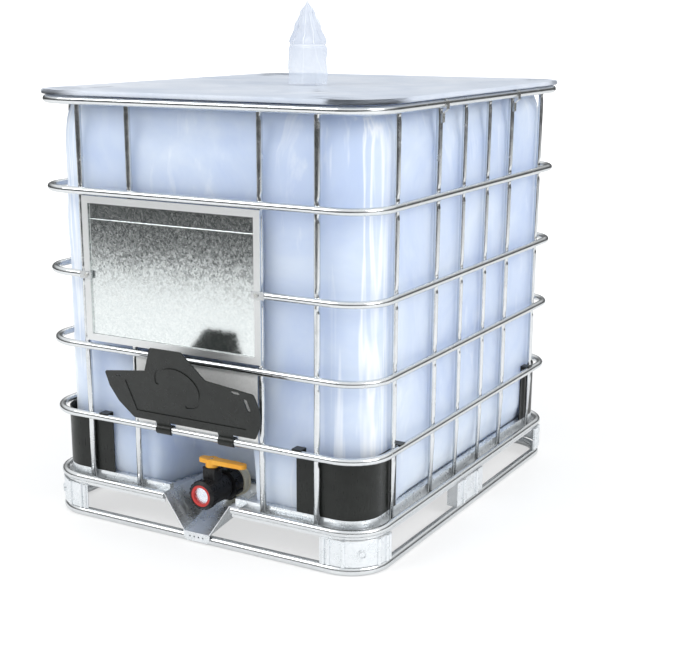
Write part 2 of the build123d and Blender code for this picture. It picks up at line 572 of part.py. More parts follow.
def corner_foot():
    """A bent sheet leg between the skid and the deck frame, with upright ribs and a round dimple."""
    half_x = WIDTH / 2 - FOOT_SETBACK
    half_y = DEPTH / 2 - FOOT_SETBACK
    shell = band(half_x, half_y, CORNER_RADIUS, FOOT_SHEET, SKID_HEIGHT, FRAME_BOTTOM)
    reach_x = WIDTH / 2 - FOOT_FRONT_LEG
    reach_y = DEPTH / 2 - FOOT_SIDE_LEG
    shell = shell & block((reach_x, WIDTH), (-DEPTH, -reach_y), (0, FRAME_HEIGHT))
    rib_places = [foot_bend(angle, CORNER_RADIUS) for angle in FOOT_BEND_RIBS]
    for step in (0, 1):
        along = 2 * FOOT_RIB_RADIUS + step * FOOT_RIB_PITCH
        rib_places.append((reach_x + along, -half_y))
        rib_places.append((half_x, -reach_y - along))
    for x, y in rib_places:
        shell = shell + along_z(x, y, FOOT_RIB_RADIUS, SKID_HEIGHT, FRAME_BOTTOM)
    x, y = foot_bend(FOOT_BEND_DIMPLE, CORNER_RADIUS - FOOT_SHEET)
    dimple = Pos(x, y, (SKID_HEIGHT + FRAME_BOTTOM) / 2) * Rot(0, 0, FOOT_BEND_DIMPLE) * Rot(0, 90, 0)
    inner = FOOT_DIMPLE_RADIUS - 2 * FOOT_DIMPLE_GROOVE
    ring = Circle(FOOT_DIMPLE_RADIUS - FOOT_DIMPLE_GROOVE) - Circle(inner)
    rise = FOOT_SHEET + FOOT_DIMPLE_RISE
    button = extrude(Circle(FOOT_DIMPLE_RADIUS), rise)
    button = button - Pos(0, 0, rise - FOOT_DIMPLE_GROOVE) * extrude(ring, FOOT_DIMPLE_GROOVE)
    return shell + dimple * button


def middle_foot():
    """A flanged sheet leg in the middle of a side, drawn as if its side were the front."""
    length = MIDDLE_FOOT_LENGTH
    face = Pos(0, -FOOT_SHEET / 2) * Rectangle(length, FOOT_SHEET)
    flange = Rectangle(FOOT_SHEET, MIDDLE_FOOT_DEPTH)
    for sign in (-1, 1):
        face = face + Pos(sign * (length - FOOT_SHEET) / 2, -MIDDLE_FOOT_DEPTH / 2) * flange
        face = face + Pos(sign * length / 4, 0) * Circle(FOOT_RIB_RADIUS)
    return Pos(0, 0, SKID_HEIGHT) * extrude(face, FRAME_BOTTOM - SKID_HEIGHT)


def middle_feet():
    """The legs in the middle of the back and of each side."""
    leg = middle_foot()
    side = WIDTH / 2 - FOOT_SETBACK
    places = (
        Pos(side, 0, 0) * Rot(0, 0, -90),
        Pos(-side, 0, 0) * Rot(0, 0, 90),
        Pos(0, DEPTH / 2 - FOOT_SETBACK, 0),
    )
    return Compound([(place * leg).solid() for place in places])


# ---------------------------------------------------------------- corner guards
def corner_guard():
    """A plastic sheet inside the front right corner, with a hook over the base hoop at each end."""
    radius = CORNER_RADIUS - (HALF_X - GUARD_FACE_X)
    low = CURB_TOP + HINGE_CLEARANCE
    high = BASE_HOOP_HEIGHT + HOOP_DIA / 2 + HINGE_CLEARANCE
    top = high + GUARD_LIP_THICKNESS
    lip_out = HALF_X + HOOP_DIA / 4 - GUARD_FACE_X
    lip_width = lip_out + GUARD_THICKNESS / 2
    lip = band(GUARD_FACE_X + lip_out, GUARD_FACE_Y + lip_out, radius + lip_out, lip_width, high, top)
    hook = band(GUARD_FACE_X, GUARD_FACE_Y, radius, GUARD_THICKNESS, low, top) + lip
    front_end = block((GUARD_FRONT_END, GUARD_FRONT_END + GUARD_TAB), (-DEPTH, 0), (low, top))
    side_end = block((0, WIDTH), (-GUARD_SIDE_END - GUARD_TAB, -GUARD_SIDE_END), (low, top))
    shell = band(GUARD_FACE_X, GUARD_FACE_Y, radius, GUARD_THICKNESS, low, BASE_HOOP_HEIGHT)
    shell = shell & block((GUARD_FRONT_END, WIDTH), (-DEPTH, -GUARD_SIDE_END), (0, RIM_HEIGHT))
    return shell + (hook & front_end) + (hook & side_end)


# ---------------------------------------------------------------- valve
def valve_body():
    """The ball housing, its outlet spigot, the stem's neck and the tail that the union nut grips."""
    spigot = along_y(SPIGOT_RADIUS, VALVE_FACE + COLLAR_FLOOR, COLLAR_BACK)
    housing = along_y(HOUSING_RADIUS, COLLAR_BACK, HOUSING_BACK)
    tail = along_y(TAIL_RADIUS, HOUSING_BACK, NUT_FRONT + NUT_LIP)
    flange = along_y(FITMENT_NECK, NUT_FRONT + NUT_LIP, NUT_FRONT + 2 * NUT_LIP)
    neck_low = VALVE_HEIGHT + HOUSING_RADIUS / 2
    neck = block((-NECK_HALF, NECK_HALF), (STEM_Y - NECK_HALF, STEM_Y + NECK_HALF), (neck_low, NECK_TOP))
    neck = fillet(neck.edges().filter_by(Axis.Z), NECK_HALF / 3)
    stop_y = (STEM_Y - STOP_HALF_DEPTH, STEM_Y + STOP_HALF_DEPTH)
    stop = block((-STOP_HALF, STOP_HALF), stop_y, (NECK_TOP - STOP_DROP[0], NECK_TOP - STOP_DROP[1]))
    body = spigot + housing + tail + flange + neck + stop
    body = body - along_y(VALVE_BORE, VALVE_FACE, NUT_BACK)
    body = body - along_y(SEAT_RADIUS, STEM_Y - SEAT_BACK, NUT_BACK)
    body = body - along_y(BALL_RADIUS + FIT, STEM_Y - SEAT_FRONT, NUT_BACK)
    body = body - along_z(0, STEM_Y, STEM_RADIUS + FIT, VALVE_HEIGHT, NECK_TOP + 1)
    for height in ORING_HEIGHTS:
        body = body - along_z(0, STEM_Y, STEM_RADIUS + ORING_SECTION, height, height + ORING_SECTION * 1.5)
    return body


def seat_retainer():
    """A ring in the valve's tail that holds the rear seat against the ball."""
    front = STEM_Y + SEAT_BACK
    ring = along_y(BALL_RADIUS, STEM_Y + SEAT_FRONT, NUT_FRONT + 2 * NUT_LIP)
    ball_space = Pos(0, STEM_Y, VALVE_HEIGHT) * Sphere(BALL_RADIUS + FIT)
    ring = ring - along_y(SEAT_RADIUS, STEM_Y, front)
    return ring - along_y(VALVE_BORE, STEM_Y, NUT_BACK) - ball_space


def ball_seats():
    """Two seat rings, one on each side of the ball, hollowed to fit it."""
    ball_space = Pos(0, STEM_Y, VALVE_HEIGHT) * Sphere(BALL_RADIUS + FIT)
    seats = []
    for low, high in ((-SEAT_BACK, -SEAT_FRONT), (SEAT_FRONT, SEAT_BACK)):
        ends = (STEM_Y + low, STEM_Y + high)
        ring = along_y(SEAT_RADIUS, *ends) - along_y(VALVE_BORE, *ends)
        seats.append((ring - ball_space).solid())
    return Compound(seats)


def valve_ball():
    """The ball, shut: its bore lies across the flow, and a slot in its top takes the stem."""
    ball = Pos(0, STEM_Y, VALVE_HEIGHT) * Sphere(BALL_RADIUS)
    bore = Pos(0, STEM_Y, VALVE_HEIGHT) * Rot(0, 90, 0) * Cylinder(VALVE_BORE - 2, 3 * BALL_RADIUS)
    slot = block(
        (-BALL_RADIUS, BALL_RADIUS),
        (STEM_Y - KEY_HALF - FIT, STEM_Y + KEY_HALF + FIT),
        (VALVE_HEIGHT + BALL_RADIUS - KEY_DEPTH - FIT, VALVE_HEIGHT + 2 * BALL_RADIUS),
    )
    return ball - bore - slot


def valve_stem():
    """The stem, with a flat key below that turns the ball and a square above for the handle."""
    key_low = VALVE_HEIGHT + BALL_RADIUS - KEY_DEPTH
    shoulder = VALVE_HEIGHT + BALL_RADIUS + FIT
    shaft = along_z(0, STEM_Y, STEM_RADIUS, shoulder, NECK_TOP + HANDLE_GAP)
    key_sides = (-KEY_SHARE * STEM_RADIUS, KEY_SHARE * STEM_RADIUS)
    key = block(key_sides, (STEM_Y - KEY_HALF, STEM_Y + KEY_HALF), (key_low, shoulder + 1))
    half = SQUARE_HALF
    square = block((-half, half), (STEM_Y - half, STEM_Y + half), (NECK_TOP, HANDLE_TOP - SCREW_HEAD))
    hole = along_z(0, STEM_Y, SCREW_RADIUS, HANDLE_TOP - SCREW_HEAD - SCREW_LENGTH, HANDLE_TOP)
    return shaft + key + square - hole


def stem_orings():
    """Two rings that seal the stem in its neck."""
    rings = []
    for height in ORING_HEIGHTS:
        radius = ORING_SECTION / 2
        place = Pos(0, STEM_Y, height + 0.75 * ORING_SECTION)
        rings.append((place * Torus(STEM_RADIUS + FIT + radius, radius - FIT)).solid())
    return Compound(rings)


def valve_handle():
    """The lever: a round hub over the neck, a tapered arm across the valve and a short tail."""
    low = NECK_TOP + HANDLE_GAP
    hub = along_z(0, STEM_Y, HUB_RADIUS, low, HANDLE_TOP)
    arm_low = HANDLE_TOP - HANDLE_THICKNESS
    arm_face = make_face(Polyline(
        (-HANDLE_TAIL, -HANDLE_HALF_END), (0, -HANDLE_HALF_HUB), (HANDLE_REACH, -HANDLE_HALF_END),
        (HANDLE_REACH, HANDLE_HALF_END), (0, HANDLE_HALF_HUB), (-HANDLE_TAIL, HANDLE_HALF_END), close=True,
    ))
    arm_face = fillet(arm_face.vertices(), HANDLE_END_SHARE * HANDLE_HALF_END)
    arm = Pos(0, STEM_Y, arm_low) * extrude(arm_face, HANDLE_THICKNESS)
    arm = fillet(arm.edges().group_by(Axis.Z)[-1], HANDLE_THICKNESS / 4)
    handle = hub + arm
    half = SQUARE_HALF + FIT
    socket = block((-half, half), (STEM_Y - half, STEM_Y + half), (low - 1, HANDLE_TOP - SCREW_HEAD))
    recess = along_z(0, STEM_Y, SCREW_HEAD_RADIUS + FIT, HANDLE_TOP - SCREW_HEAD, HANDLE_TOP + 1)
    return handle - socket - recess


def handle_screw():
    """The screw that holds the handle down on the stem."""
    head = along_z(0, STEM_Y, SCREW_HEAD_RADIUS, HANDLE_TOP - SCREW_HEAD, HANDLE_TOP - 0.5)
    neck = HANDLE_TOP - SCREW_HEAD
    shank = along_z(0, STEM_Y, SCREW_RADIUS - FIT, neck - SCREW_LENGTH + 1, neck)
    drive = Pos(0, STEM_Y, HANDLE_TOP - 2) * extrude(RegularPolygon(SCREW_RADIUS, 6), 2)
    return head + shank - drive


def outlet_collar():
    """The screw collar over the outlet spigot, open in the middle, with a bevelled nose and grip ribs."""
    outside = along_y(COLLAR_RADIUS, VALVE_FACE, COLLAR_BACK - HANDLE_GAP)
    outside = chamfer(outside.edges().filter_by(GeomType.CIRCLE).group_by(Axis.Y)[0], COLLAR_BEVEL)
    mouth = along_y(COLLAR_MOUTH, VALVE_FACE - 1, VALVE_FACE + COLLAR_FLOOR)
    thread = along_y(SPIGOT_RADIUS + THREAD_GAP, VALVE_FACE + COLLAR_SEAL, COLLAR_BACK)
    collar = outside - mouth - thread
    span_y = (VALVE_FACE + COLLAR_BEVEL, COLLAR_BACK - HANDLE_GAP)
    span_z = (COLLAR_RADIUS - GRIP_HEIGHT, COLLAR_RADIUS + GRIP_HEIGHT)
    grip = block((-GRIP_WIDTH / 2, GRIP_WIDTH / 2), span_y, span_z)
    centre = Pos(0, 0, VALVE_HEIGHT)
    for number in range(GRIP_COUNT):
        collar = collar + centre * Rot(0, number * 360 / GRIP_COUNT, 0) * grip
    return collar


def outlet_seal():
    """The red ring that the collar presses on the spigot's face."""
    front = VALVE_FACE + COLLAR_SEAL + FIT
    ring = along_y(SPIGOT_RADIUS - THREAD_GAP, front, VALVE_FACE + COLLAR_FLOOR - FIT)
    nose = along_y(COLLAR_MOUTH - THREAD_GAP, VALVE_FACE + SEAL_RECESS, front)
    return ring + nose - along_y(SEAL_BORE, VALVE_FACE, COLLAR_BACK)


def outlet_foil():
    """The foil disc inside the red ring that keeps the outlet clean until first use."""
    back = VALVE_FACE + COLLAR_FLOOR - FIT
    return along_y(SEAL_BORE, back - FOIL_THICKNESS, back)


def union_nut():
    """The lugged nut that pulls the valve on to the liner's fitment."""
    nut = along_y(NUT_RADIUS, NUT_FRONT, NUT_BACK)
    nut = nut - along_y(TAIL_RADIUS + THREAD_GAP, NUT_FRONT - 1, NUT_BACK)
    nut = nut - along_y(FITMENT_NECK + THREAD_GAP, NUT_FRONT + NUT_LIP, NUT_BACK + 1)
    span_y = (NUT_FRONT + NUT_LIP, NUT_BACK - NUT_LIP)
    lug = block((-LUG_WIDTH / 2, LUG_WIDTH / 2), span_y, (NUT_RADIUS - 2, NUT_RADIUS + LUG_HEIGHT))
    centre = Pos(0, 0, VALVE_HEIGHT)
    for number in range(LUG_COUNT):
        nut = nut + centre * Rot(0, (number + 0.5) * 360 / LUG_COUNT, 0) * lug
    return nut


def union_gasket():
    """The flat ring between the valve's tail and the fitment."""
    front = NUT_FRONT + 2 * NUT_LIP
    return along_y(TAIL_RADIUS, front, front + GASKET) - along_y(VALVE_BORE, front, front + GASKET)


def liner_fitment():
    """The pale threaded neck and flange welded to the liner, which the union nut screws on."""
    neck = along_y(FITMENT_NECK, NUT_FRONT + 2 * NUT_LIP + GASKET, FITMENT_FRONT)
    flange = along_y(FITMENT_RADIUS, FITMENT_FRONT, LINER_WALL - FITMENT_BACKING)
    return neck + flange - along_y(VALVE_BORE, NUT_FRONT, LINER_WALL)


def fitment_ring():
    """The backing ring between the fitment and the liner's film."""
    front = LINER_WALL - FITMENT_BACKING
    ring = along_y(FITMENT_RADIUS + GASKET, front, LINER_WALL)
    return ring - along_y(VALVE_BORE, front, LINER_WALL)


# ---------------------------------------------------------------- liner
def liner_bag():
    """The filled film bag: it fills the cage, stands out over the rim and draws back to the valve."""
    radius = CORNER_RADIUS - (HALF_X - LINER_HALF_X)
    footprint = RectangleRounded(2 * LINER_HALF_X, 2 * LINER_HALF_Y, radius)
    neck_height = RIM_HEIGHT + RIM_DIA / 2 + CLAMP_SHEET + LINER_FLOOR_GAP
    sole_x = CAGE_INSIDE_X - DECK_GAP - CURB_WIDTH - LINER_FLOOR_GAP
    sole_y = CAGE_INSIDE_Y - DECK_GAP - CURB_WIDTH - LINER_FLOOR_GAP
    sole_radius = radius - (LINER_HALF_X - sole_x)
    low = DECK_TOP + LINER_FLOOR_GAP
    knee = CURB_TOP + LINER_FLOOR_GAP
    sole = Pos(0, 0, low) * extrude(RectangleRounded(2 * sole_x, 2 * sole_y, sole_radius), knee - low)
    body = Pos(0, 0, knee) * extrude(footprint, neck_height - knee)
    top_x = HALF_X + RIM_DIA / 2 + LINER_BRIM
    top_y = HALF_Y + RIM_DIA / 2 + LINER_BRIM
    top_radius = CORNER_RADIUS + RIM_DIA / 2 + LINER_BRIM
    top_outline = RectangleRounded(2 * top_x, 2 * top_y, top_radius)
    brim = Pos(0, 0, neck_height) * extrude(top_outline, LINER_TOP - neck_height)
    brim = fillet(brim.edges().group_by(Axis.Z)[-1], LINER_EDGE)
    wall = LINER_WALL + LINER_FLOOR_GAP
    recess = make_face(Polyline(
        (-DEPTH, RECESS_TOP),
        (-LINER_HALF_Y - 1, RECESS_TOP),
        (wall, RECESS_SHELF),
        (wall, 0),
        (-DEPTH, 0),
        close=True,
    ))
    recess = extrude(Plane.YZ * recess, RECESS_HALF_WIDTH, both=True)
    return sole + body + brim - recess


def filling_spout():
    """The flattened film tube on the liner's top, gathered to a point."""
    low = LINER_TOP + LINER_FLOOR_GAP
    sections = []
    for height, width, depth in SPOUT_SHAPE:
        section = RectangleRounded(width, depth, SPOUT_ROUND * min(width, depth))
        sections.append(Pos(0, SPOUT_SETBACK, low + height) * section)
    return loft(sections, ruled=True)


# ---------------------------------------------------------------- the whole container
def pieces():
    """Every node of the container, by name."""
    found = {
        "top_rim": hoop(RIM_HEIGHT, RIM_DIA),
        "upper_hoop": hoop(UPPER_HOOP_HEIGHT),
        "middle_hoop": middle_hoop(),
        "lower_hoop": hoop(LOWER_HOOP_HEIGHT),
        "base_hoop": hoop(BASE_HOOP_HEIGHT),
        "rim_clamps": rim_clamps(),
        "label_plate": label_plate(),
        "plate_rivets": plate_rivets(),
        "backing_plate": backing_plate(),
        "valve_flap": valve_flap(),
        "skid_loop": skid_loop(),
        "deck_frame": deck_frame(),
        "deck_tray": deck_tray(),
        "middle_feet": middle_feet(),
        "valve_saddle": valve_saddle(),
        "valve_body": valve_body(),
        "seat_retainer": seat_retainer(),
        "ball_seats": ball_seats(),
        "valve_ball": valve_ball(),
        "valve_stem": valve_stem(),
        "stem_orings": stem_orings(),
        "valve_handle": valve_handle(),
        "handle_screw": handle_screw(),
        "outlet_collar": outlet_collar(),
        "outlet_seal": outlet_seal(),
        "outlet_foil": outlet_foil(),
        "union_nut": union_nut(),
        "union_gasket": union_gasket(),
        "liner_fitment": liner_fitment(),
        "fitment_ring": fitment_ring(),
        "liner_bag": liner_bag(),
        "filling_spout": filling_spout(),
    }
    found.update(uprights())
    found.update({f"{place}_foot": shape for place, shape in four_corners(corner_foot()).items()})
    found.update({f"{place}_guard": shape for place, shape in four_corners(corner_guard()).items()})
    return found


os.makedirs("parts", exist_ok=True)
for name, shape in pieces().items():
    save(name, shape)
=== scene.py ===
"""A caged liner container on a steel frame pallet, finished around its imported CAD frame.

Metres, +Z up, the valve side faces -Y and the floor is z = 0.
"""
import json
import math

import bmesh
import bpy
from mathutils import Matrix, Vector, noise


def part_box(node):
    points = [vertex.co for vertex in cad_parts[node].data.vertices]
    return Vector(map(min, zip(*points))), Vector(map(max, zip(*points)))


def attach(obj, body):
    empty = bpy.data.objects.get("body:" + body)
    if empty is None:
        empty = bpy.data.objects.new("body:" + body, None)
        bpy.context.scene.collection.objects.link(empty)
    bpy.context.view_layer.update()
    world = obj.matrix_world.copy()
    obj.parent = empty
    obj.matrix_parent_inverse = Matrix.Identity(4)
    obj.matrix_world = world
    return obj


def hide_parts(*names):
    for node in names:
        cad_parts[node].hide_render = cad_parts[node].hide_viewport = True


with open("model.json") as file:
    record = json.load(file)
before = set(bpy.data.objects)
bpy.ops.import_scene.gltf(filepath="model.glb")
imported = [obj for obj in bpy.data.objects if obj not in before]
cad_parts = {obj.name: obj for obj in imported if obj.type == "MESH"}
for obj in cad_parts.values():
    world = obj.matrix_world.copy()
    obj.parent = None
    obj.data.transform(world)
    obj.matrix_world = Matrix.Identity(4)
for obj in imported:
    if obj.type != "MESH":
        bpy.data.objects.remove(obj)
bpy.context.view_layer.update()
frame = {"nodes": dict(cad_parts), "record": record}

# ------------------------------------------------------------------ sizes

MM = 0.001

# side walls of the filled liner
WALL_STEP = 20 * MM          # spacing of the wall's points
WALL_INSET = 5 * MM          # how far inside its solid the wall starts before it swells
WALL_RADIUS = 80 * MM        # corner radius seen from above
SHOULDER = (16 * MM, 26 * MM)            # how far the top edge rounds in and down, along a side
CORNER_SHOULDER = (46 * MM, 150 * MM)    # the same over a corner, where the film pulls in
FOOT_ROUND = (20 * MM, 20 * MM)          # rounding of the bottom edge
SWELL_CAP = 9 * MM           # the most that the pressure may move a point
SWELL_FRAMES = 20
SWELL_PRESSURE = 4.0
FILM_MASS = 0.3
FILM_SLACK = 0.012           # share by which the film is larger than the space it fills
PLEAT_DEPTH = 5 * MM
PLEATS = 20                  # pleats to a metre along the wall
PLEAT_LEAN = 3.0
PLEAT_STRETCH = 1.3
PLEAT_SHARPNESS = 3.2
PLEAT_EVERYWHERE = 0.12      # share of the depth that the pleats keep away from the corners
CLOSING_RINGS = 12           # rings that close the wall's bottom and its top

# top film, laid over the rim
HEM_RADIUS = 6 * MM
TOP_RADIUS = 115 * MM
TOP_WAVE = 2 * MM
TOP_DIP = 3 * MM
TOP_CLEARANCE = 2.5 * MM     # above the rim
SOLE_RINGS = 24
HEM_RINGS = 7
TOP_RINGS = 40

# painted highlights: white streaks along folds in the wall film, near the liner's upright edges
GATHER_REACH = 190 * MM
FOLD_LEAN = (0.22, -0.22, 0.0)           # radians
FOLD_STRETCH = (17.0, 17.0, 1.1)         # folds per metre on each axis

# dents pressed into an upright beside each hoop
DENT_DEPTH = 3.2 * MM
DENT_OFFSET = 19 * MM
DENT_LENGTH = 13 * MM
DENT_STEP = 4 * MM
DENT_SPREAD = 0.75           # radians round the tube
DENT_BULGE = 0.25            # the tube widens beside a dent by this share of its depth
DENT_BULGE_ANGLE = 1.6
DENT_BULGE_SPREAD = 0.5
TUBE_SIDES = 16

HOOPS = ("top_rim", "upper_hoop", "middle_hoop", "lower_hoop", "base_hoop")


# ------------------------------------------------------------------ node helper

class Surface:
    """One Principled material, with short calls that add nodes to it. Scales are in features per metre."""

    def __init__(self, name, **sockets):
        self.material = bpy.data.materials.new(name)
        self.material.use_nodes = True
        self.tree = self.material.node_tree
        self.shader = self.tree.nodes["Principled BSDF"]
        for socket, value in sockets.items():
            self.shader.inputs[socket.replace("_", " ")].default_value = value
        self.place = self.node("ShaderNodeTexCoord").outputs["Object"]

    def node(self, kind, inputs=None, **settings):
        made = self.tree.nodes.new(kind)
        for key, value in settings.items():
            setattr(made, key, value)
        for key, value in (inputs or {}).items():
            if isinstance(value, bpy.types.NodeSocket):
                self.tree.links.new(value, made.inputs[key])
            else:
                made.inputs[key].default_value = value
        return made

    def stretched(self, scale):
        """The object's coordinates, scaled by a different factor on each axis."""
        return self.node("ShaderNodeMapping", {"Vector": self.place, "Scale": scale}).outputs["Vector"]

    def noise(self, scale, detail=4.0, rough=0.55, place=None, warp=0.0):
        inputs = {"Vector": place or self.place, "Scale": scale, "Detail": detail,
                  "Roughness": rough, "Distortion": warp}
        return self.node("ShaderNodeTexNoise", inputs).outputs["Fac"]

    def cells(self, scale, place=None):
        """A random number for each grain of a cell pattern."""
        made = self.node("ShaderNodeTexVoronoi", {"Vector": place or self.place, "Scale": scale})
        return self.node("ShaderNodeSeparateColor", {"Color": made.outputs["Color"]}).outputs["Red"]

    def spread(self, value, low, high, start=0.0, end=1.0):
        """Maps a value from start..end to low..high."""
        inputs = {"Value": value, "From Min": start, "From Max": end, "To Min": low, "To Max": high}
        return self.node("ShaderNodeMapRange", inputs).outputs["Result"]

    def mix(self, fac, first, second):
        made = self.node("ShaderNodeMix", data_type="RGBA")
        self.tree.links.new(fac, made.inputs["Factor"])
        for socket, value in ((made.inputs[6], first), (made.inputs[7], second)):
            if isinstance(value, bpy.types.NodeSocket):
                self.tree.links.new(value, socket)
            else:
                socket.default_value = (*value, 1.0)
        return made.outputs[2]

    def maths(self, operation, first, second):
        return self.node("ShaderNodeMath", {0: first, 1: second}, operation=operation).outputs[0]

    def set(self, socket, value):
        self.tree.links.new(value, self.shader.inputs[socket])

    def bump(self, height, strength, distance):
        made = self.node("ShaderNodeBump", {"Height": height, "Strength": strength, "Distance": distance})
        self.tree.links.new(made.outputs["Normal"], self.shader.inputs["Normal"])


# ------------------------------------------------------------------ materials

def tube_zinc():
    """Bright drawn zinc tube: cloudy dull patches and faint streaks."""
    s = Surface("tube_zinc", Metallic=1.0)
    cloud = s.noise(9.0, 5.0, 0.6)
    streak = s.noise(70.0, 3.0)
    tone = s.maths("ADD", s.spread(cloud, 0.0, 0.7), s.spread(streak, 0.0, 0.3))
    s.set("Base Color", s.mix(tone, (0.60, 0.62, 0.64), (0.84, 0.85, 0.85)))
    s.set("Roughness", s.spread(s.noise(40.0, 4.0), 0.14, 0.28, 0.3, 0.7))
    s.bump(s.noise(150.0, 2.0), 0.05, 0.0006)
    return s.material


def sheet_zinc(name, grain, smooth, rough, dark, light, sparkle=0.02, wave=0.03, metal=1.0):
    """Hot-dipped zinc sheet: crystal grains that differ in tone, gloss and tilt, on a slightly wavy sheet."""
    s = Surface(name, Metallic=metal)
    warp = s.node("ShaderNodeTexNoise", {"Vector": s.place, "Scale": grain * 0.6}).outputs["Color"]
    bent = s.node("ShaderNodeVectorMath", {0: warp, "Scale": 0.5 / grain}, operation="SCALE").outputs[0]
    place = s.node("ShaderNodeVectorMath", {0: s.place, 1: bent}, operation="ADD").outputs[0]
    crystal = s.node("ShaderNodeTexVoronoi", {"Vector": place, "Scale": grain}).outputs["Color"]
    fine = s.cells(grain * 2.6, place)
    first = s.node("ShaderNodeSeparateColor", {"Color": crystal}).outputs["Red"]
    both = s.maths("ADD", s.spread(first, 0.0, 0.6), s.spread(fine, 0.0, 0.4))
    s.set("Base Color", s.mix(both, dark, light))
    s.set("Roughness", s.spread(both, smooth, rough))
    half = (0.5, 0.5, 0.5)
    centred = s.node("ShaderNodeVectorMath", {0: crystal, 1: half}, operation="SUBTRACT").outputs[0]
    tilt = s.node("ShaderNodeVectorMath", {0: centred, "Scale": sparkle}, operation="SCALE").outputs[0]
    soft = s.node("ShaderNodeBump", {"Height": s.noise(9.0, 2.0), "Strength": wave, "Distance": 0.01})
    tilted = s.node("ShaderNodeVectorMath", {0: soft.outputs["Normal"], 1: tilt}, operation="ADD").outputs[0]
    s.set("Normal", s.node("ShaderNodeVectorMath", {0: tilted}, operation="NORMALIZE").outputs[0])
    return s


def label_zinc():
    """The label plate's mirror-bright sheet, with a matt folded rim that stands in front of it; the rim's
    paler tone is painted highlight.
    """
    low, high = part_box("label_plate")
    s = sheet_zinc("label_zinc", 210.0, 0.10, 0.20, (0.62, 0.66, 0.66), (0.88, 0.91, 0.90), 0.020, 0.02)
    depth = s.node("ShaderNodeSeparateXYZ", {0: s.place}).outputs["Y"]
    rim = s.spread(depth, 1.0, 0.0, low.y + 1.5 * MM, low.y + 3.0 * MM)
    tone = s.shader.inputs["Base Color"].links[0].from_socket
    gloss = s.shader.inputs["Roughness"].links[0].from_socket
    # painted highlight: the folded rim gets a paler tone than the sheet; its added roughness is its real matt
    # finish
    s.set("Base Color", s.mix(rim, tone, (0.95, 0.96, 0.96)))
    s.set("Roughness", s.maths("ADD", gloss, s.spread(rim, 0.0, 0.32)))
    return s.material


def moulded(name, dark, light, rough, grain=900.0, depth=0.0002):
    """Moulded plastic: fine grain, and faint cloudy scuffing that changes its gloss."""
    s = Surface(name, Specular_IOR_Level=0.28)
    cloud = s.noise(22.0, 5.0, 0.6)
    scuffs = s.noise(130.0, 4.0, 0.7, s.stretched((1.0, 1.0, 0.25)))
    s.set("Base Color", s.mix(s.spread(cloud, 0.0, 1.0, 0.3, 0.7), dark, light))
    s.set("Roughness", s.spread(scuffs, rough - 0.08, rough + 0.10, 0.3, 0.7))
    s.bump(s.noise(grain, 2.0), 0.35, depth)
    return s.material


def film(name, dark, light, rough, crease_share=0.3, milky=0.0, gloss=0.30, lift=0.12):
    """Polyethylene film: milky and glossy, with faint cloudy tone and fine whitened creases."""
    s = Surface(name, Specular_IOR_Level=gloss, Subsurface_Weight=milky, Subsurface_Scale=0.15)
    s.shader.inputs["Subsurface Radius"].default_value = (1.0, 1.0, 1.0)
    cloud = s.noise(3.4, 5.0, 0.6, warp=0.6)
    crease = s.noise(11.0, 5.0, 0.6, s.stretched((1.0, 1.0, 0.3)), 1.0)
    ridge = s.spread(crease, 0.0, 1.0, 0.60, 0.72)
    tone = s.mix(s.spread(cloud, 0.0, 1.0, 0.32, 0.68), dark, light)
    s.set("Base Color", s.mix(s.spread(ridge, 0.0, crease_share), tone, (0.90, 0.92, 0.95)))
    s.set("Roughness", s.spread(crease, rough, rough + 0.14, 0.3, 0.7))
    s.bump(crease, lift, 0.006)
    return s


def gathered(s):
    """Adds long white streaks to a film as painted highlights along folds, gathered towards the liner's
    upright edges.
    """
    low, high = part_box("liner_bag")
    split = s.node("ShaderNodeSeparateXYZ", {0: s.place}).outputs
    near = 1.0
    for axis, end in (("X", high.x), ("Y", -low.y)):
        reach = s.maths("ABSOLUTE", split[axis], 0.0)
        share = s.spread(reach, 0.0, 1.0, end - GATHER_REACH, end - GATHER_REACH / 4)
        near = s.maths("MULTIPLY", share, near)
    slant = s.node("ShaderNodeMapping", {"Vector": s.place, "Rotation": FOLD_LEAN, "Scale": FOLD_STRETCH})
    fold = s.noise(1.0, 3.0, 0.55, slant.outputs["Vector"], 0.4)
    line = s.spread(s.maths("ABSOLUTE", s.maths("SUBTRACT", fold, 0.5), 0.0), 1.0, 0.0, 0.0, 0.055)
    # painted highlight: white streaks that stand for glare along the folds near the upright edges
    white = s.maths("MULTIPLY", line, near)
    tone = s.shader.inputs["Base Color"].links[0].from_socket
    s.set("Base Color", s.mix(white, tone, (0.97, 0.98, 1.0)))
    return s


def foil():
    """Bright sealing foil, finely crinkled."""
    s = Surface("foil", Metallic=0.9)
    crinkle = s.cells(260.0)
    s.set("Base Color", s.mix(crinkle, (0.70, 0.76, 0.86), (0.93, 0.95, 0.98)))
    s.set("Roughness", s.spread(crinkle, 0.20, 0.38))
    s.bump(s.noise(240.0, 4.0), 0.5, 0.0012)
    return s.material


def rubber(name, dark, light):
    """Smooth rubber with a light bloom on it."""
    s = Surface(name)
    bloom = s.noise(160.0, 5.0, 0.6)
    s.set("Base Color", s.mix(bloom, dark, light))
    s.set("Roughness", s.spread(bloom, 0.38, 0.62, 0.3, 0.7))
    s.bump(s.noise(1200.0, 2.0), 0.3, 0.0002)
    return s.material


FILM_WALL = gathered(film("film_wall", (0.50, 0.59, 0.78), (0.66, 0.73, 0.84), 0.30, milky=0.8)).material
FILM_TOP = film(
    "film_top", (0.52, 0.57, 0.66), (0.66, 0.69, 0.75), 0.38,
    crease_share=0.15, gloss=0.12, lift=0.03).material

